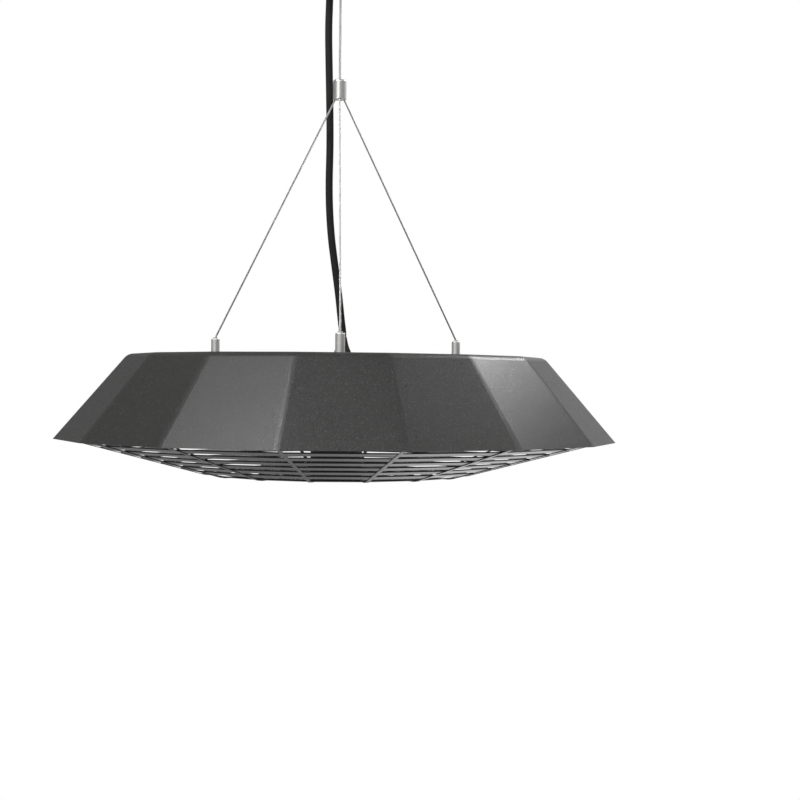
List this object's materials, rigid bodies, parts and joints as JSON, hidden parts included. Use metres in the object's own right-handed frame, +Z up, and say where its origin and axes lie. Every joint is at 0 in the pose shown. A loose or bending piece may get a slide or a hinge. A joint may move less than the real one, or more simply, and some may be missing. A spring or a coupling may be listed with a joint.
{
  "type": "infrared ceiling heater",
  "caption": "Faceted dark grey infrared heater with a dished guard of flat rings, ring heating tubes and a central lamp, hung by steel ropes from a ceiling canopy.",
  "frame": {"origin": "middle of the ceiling bracket's top face, on the ceiling plane", "axes": "+Z up out of the bracket into the ceiling, the heater hangs along -Z, and -Y is the front seen in the picture"},
  "size_m": [0.5884, 0.5884, 0.5978],
  "materials": {
    "shade_paint": "matte",
    "guard_paint": "satin",
    "nickel": "satin",
    "rope_steel": "satin",
    "spring_steel": "satin",
    "zinc_steel": "satin",
    "bright_aluminium": "polished",
    "quartz": "polished",
    "filament_wire": "matte",
    "ceramic_white": "matte",
    "cord_black": "matte",
    "pod_black": "matte",
    "diffuser_opal": "satin",
    "window_dark": "gloss",
    "board_green": "satin",
    "relay_black": "satin",
    "lead_sleeve": "matte"
  },
  "bodies": {
    "ceiling_fitting": {"ceiling_bracket": "zinc_steel", "canopy_cup": "shade_paint", "hanger_fork": "nickel", "fork_pin": "nickel", "pin_clip": "nickel", "canopy_cord_grip": "cord_black", "ceiling_terminal_block": "ceramic_white"},
    "heater": {"shade": "shade_paint", "guard_frame": "guard_paint", "guard_straps": "guard_paint", "guard_side_rings": "guard_paint", "guard_floor_rings": "guard_paint", "guard_clips": "guard_paint", "eye_terminal": "nickel", "coupler_body": "nickel", "coupler_cap": "nickel", "coupler_stops": "nickel", "gripper_sleeve_front": "nickel", "gripper_sleeve_left": "nickel", "gripper_sleeve_right": "nickel", "gripper_stems": "nickel", "gripper_nuts": "nickel", "main_wire": "rope_steel", "bridle_wire_front": "rope_steel", "bridle_wire_left": "rope_steel", "bridle_wire_right": "rope_steel", "gripper_spring_front": "spring_steel", "gripper_spring_left": "spring_steel", "gripper_spring_right": "spring_steel", "mounting_studs": "zinc_steel", "upper_spacers": "zinc_steel", "lower_spacers": "zinc_steel", "heat_shield": "zinc_steel", "reflector_nuts": "zinc_steel", "guard_screws": "zinc_steel", "guard_nuts": "zinc_steel", "tube_clips": "zinc_steel", "reflector": "bright_aluminium", "inner_heating_tube": "quartz", "outer_heating_tube": "quartz", "filaments": "filament_wire", "tube_caps": "ceramic_white", "element_terminal_block": "ceramic_white", "power_cord": "cord_black", "cord_grip": "cord_black", "pod_housing": "pod_black", "pod_nut": "pod_black", "light_diffuser": "diffuser_opal", "receiver_window": "window_dark", "control_board": "board_green", "light_board": "board_green", "relays": "relay_black", "board_spacers": "relay_black", "thermal_cutout": "relay_black", "element_leads": "lead_sleeve", "supply_leads": "lead_sleeve", "pod_cable": "lead_sleeve"},
    "plunger_front": {"gripper_plunger_front": "nickel"},
    "plunger_right": {"gripper_plunger_right": "nickel"},
    "plunger_left": {"gripper_plunger_left": "nickel"}
  },
  "joints": [
    {"name": "swing", "type": "hinge", "parent": "ceiling_fitting", "child": "heater", "pos_m": [0, 0, -0.0523], "axis": [0, 1, 0], "range_deg": [-10, 10], "deforming": ["power_cord"]},
    {"name": "release_front", "type": "slide", "parent": "heater", "child": "plunger_front", "axis": [0, 0, -1], "range_m": [0, 0.0012], "stiffness_N_per_m": 900, "springref_m": -0.001, "deforming": ["gripper_spring_front"]},
    {"name": "release_right", "type": "slide", "parent": "heater", "child": "plunger_right", "axis": [0, 0, -1], "range_m": [0, 0.0012], "stiffness_N_per_m": 900, "springref_m": -0.001, "deforming": ["gripper_spring_right"]},
    {"name": "release_left", "type": "slide", "parent": "heater", "child": "plunger_left", "axis": [0, 0, -1], "range_m": [0, 0.0012], "stiffness_N_per_m": 900, "springref_m": -0.001, "deforming": ["gripper_spring_left"]}
  ]
}
